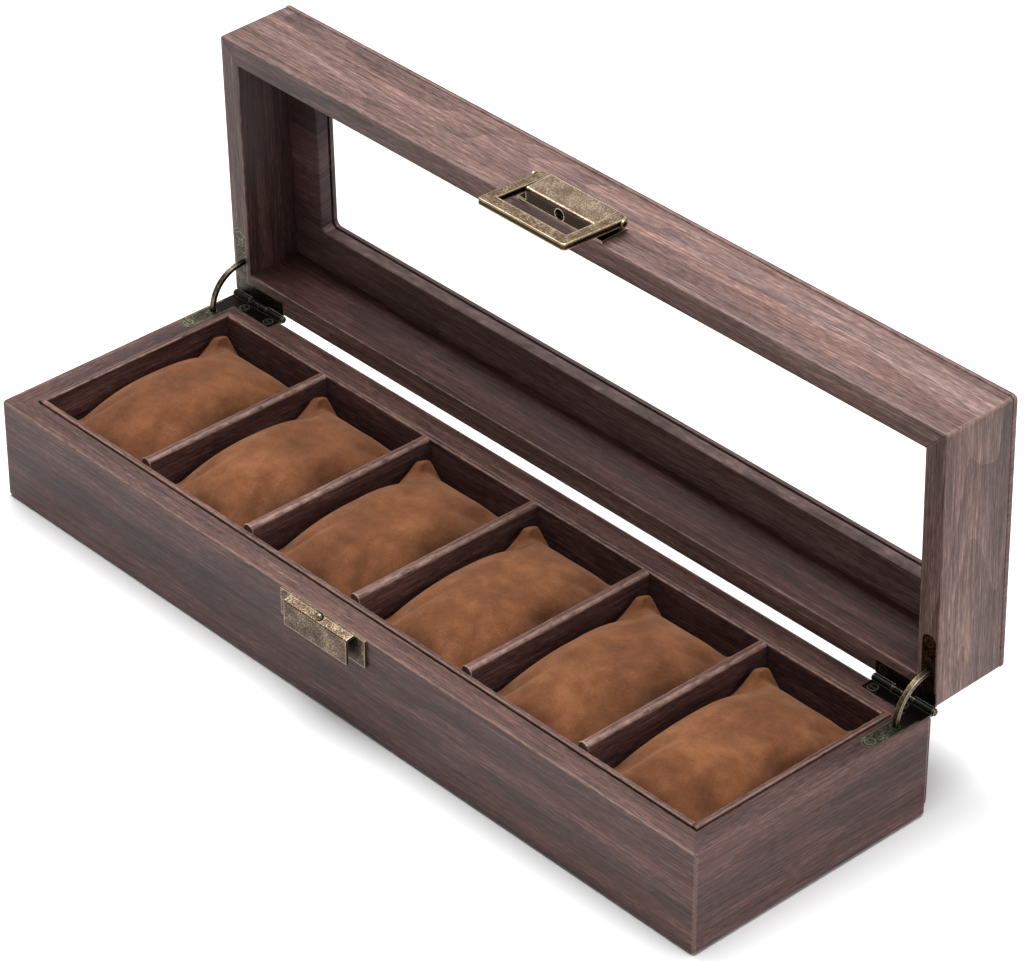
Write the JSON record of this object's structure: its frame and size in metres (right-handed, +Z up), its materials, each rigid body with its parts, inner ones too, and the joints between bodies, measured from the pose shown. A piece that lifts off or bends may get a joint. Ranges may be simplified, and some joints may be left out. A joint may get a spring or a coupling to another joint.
{
  "type": "watch box",
  "caption": "Long hinged watch box with a glass window in its lid, a row of cushioned compartments, two quadrant stay hinges and a drop-ring clasp, lid open.",
  "frame": {"origin": "centre of the case's footprint, on its underside", "axes": "+X to the right along the length, +Y to the back where the hinges are, +Z up"},
  "size_m": [0.3704, 0.1525, 0.164],
  "materials": {
    "wood_grain_wrap": "dark walnut grain embossed wrap over fibreboard, low sheen",
    "suede": "brushed tan-brown suede cloth",
    "clasp_brass": "antique brass, mottled, worn bright on its edges",
    "hinge_bronze": "dark antique bronze, semi-gloss",
    "window_glass": "clear",
    "black_felt": "short dark felt"
  },
  "bodies": {
    "case": {"case_back_panel": "wood_grain_wrap", "case_back_wall": "wood_grain_wrap", "case_bottom": "wood_grain_wrap", "case_front_wall": "wood_grain_wrap", "case_left_wall": "wood_grain_wrap", "case_right_wall": "wood_grain_wrap", "case_screw_left_1": "hinge_bronze", "case_screw_left_2": "hinge_bronze", "case_screw_left_3": "hinge_bronze", "case_screw_right_1": "hinge_bronze", "case_screw_right_2": "hinge_bronze", "case_screw_right_3": "hinge_bronze", "divider_1": "wood_grain_wrap", "divider_2": "wood_grain_wrap", "divider_3": "wood_grain_wrap", "divider_4": "wood_grain_wrap", "divider_5": "wood_grain_wrap", "floor_lining": "black_felt", "hinge_left_case_leaf": "hinge_bronze", "hinge_left_pin": "hinge_bronze", "hinge_right_case_leaf": "hinge_bronze", "hinge_right_pin": "hinge_bronze", "keeper": "clasp_brass", "keeper_peg": "clasp_brass", "keeper_screw_left": "clasp_brass", "keeper_screw_right": "clasp_brass", "lining_back": "wood_grain_wrap", "lining_front": "wood_grain_wrap", "lining_left": "wood_grain_wrap", "lining_right": "wood_grain_wrap", "underside_felt": "black_felt"},
    "lid": {"hasp": "clasp_brass", "hinge_left_lid_leaf": "hinge_bronze", "hinge_right_lid_leaf": "hinge_bronze", "lid_back_wall": "wood_grain_wrap", "lid_front_wall": "wood_grain_wrap", "lid_glass": "window_glass", "lid_left_wall": "wood_grain_wrap", "lid_right_wall": "wood_grain_wrap", "lid_screw_left_1": "hinge_bronze", "lid_screw_left_2": "hinge_bronze", "lid_screw_left_3": "hinge_bronze", "lid_screw_right_1": "hinge_bronze", "lid_screw_right_2": "hinge_bronze", "lid_screw_right_3": "hinge_bronze", "lid_top_panel": "wood_grain_wrap", "lid_window_board": "wood_grain_wrap", "ring_pin_left": "clasp_brass", "ring_pin_right": "clasp_brass"},
    "clasp_ring": {"hasp_ring": "clasp_brass"},
    "stay_left": {"hinge_left_stay": "hinge_bronze"},
    "stay_right": {"hinge_right_stay": "hinge_bronze"},
    "cushion_1": {"cushion_1": "suede"},
    "cushion_2": {"cushion_2": "suede"},
    "cushion_3": {"cushion_3": "suede"},
    "cushion_4": {"cushion_4": "suede"},
    "cushion_5": {"cushion_5": "suede"},
    "cushion_6": {"cushion_6": "suede"}
  },
  "joints": [
    {"name": "lid_hinge", "type": "hinge", "parent": "case", "child": "lid", "pos_m": [0, 0.05785, 0.0427], "axis": [1, 0, 0], "range_deg": [0, 88.5]},
    {"name": "ring_pivot", "type": "hinge", "parent": "lid", "child": "clasp_ring", "pos_m": [0, 0.06505, 0.16138], "axis": [-1, 0, 0], "range_deg": [-9.5, 110]},
    {"name": "stay_left_slide", "type": "hinge", "parent": "case", "child": "stay_left", "pos_m": [0, 0.05785, 0.0427], "axis": [1, 0, 0], "range_deg": [0, 44.25]},
    {"name": "stay_right_slide", "type": "hinge", "parent": "case", "child": "stay_right", "pos_m": [0, 0.05785, 0.0427], "axis": [1, 0, 0], "range_deg": [0, 44.25]},
    {"name": "cushion_1_lift", "type": "slide", "parent": "case", "child": "cushion_1", "axis": [0, 0, -1], "range_m": [-0.055, 0]},
    {"name": "cushion_2_lift", "type": "slide", "parent": "case", "child": "cushion_2", "axis": [0, 0, -1], "range_m": [-0.055, 0]},
    {"name": "cushion_3_lift", "type": "slide", "parent": "case", "child": "cushion_3", "axis": [0, 0, -1], "range_m": [-0.055, 0]},
    {"name": "cushion_4_lift", "type": "slide", "parent": "case", "child": "cushion_4", "axis": [0, 0, -1], "range_m": [-0.055, 0]},
    {"name": "cushion_5_lift", "type": "slide", "parent": "case", "child": "cushion_5", "axis": [0, 0, -1], "range_m": [-0.055, 0]},
    {"name": "cushion_6_lift", "type": "slide", "parent": "case", "child": "cushion_6", "axis": [0, 0, -1], "range_m": [-0.055, 0]}
  ],
  "couplings": [
    {"joint": "stay_left_slide", "follows": "lid_hinge", "ratio": 0.5},
    {"joint": "stay_right_slide", "follows": "lid_hinge", "ratio": 0.5}
  ]
}
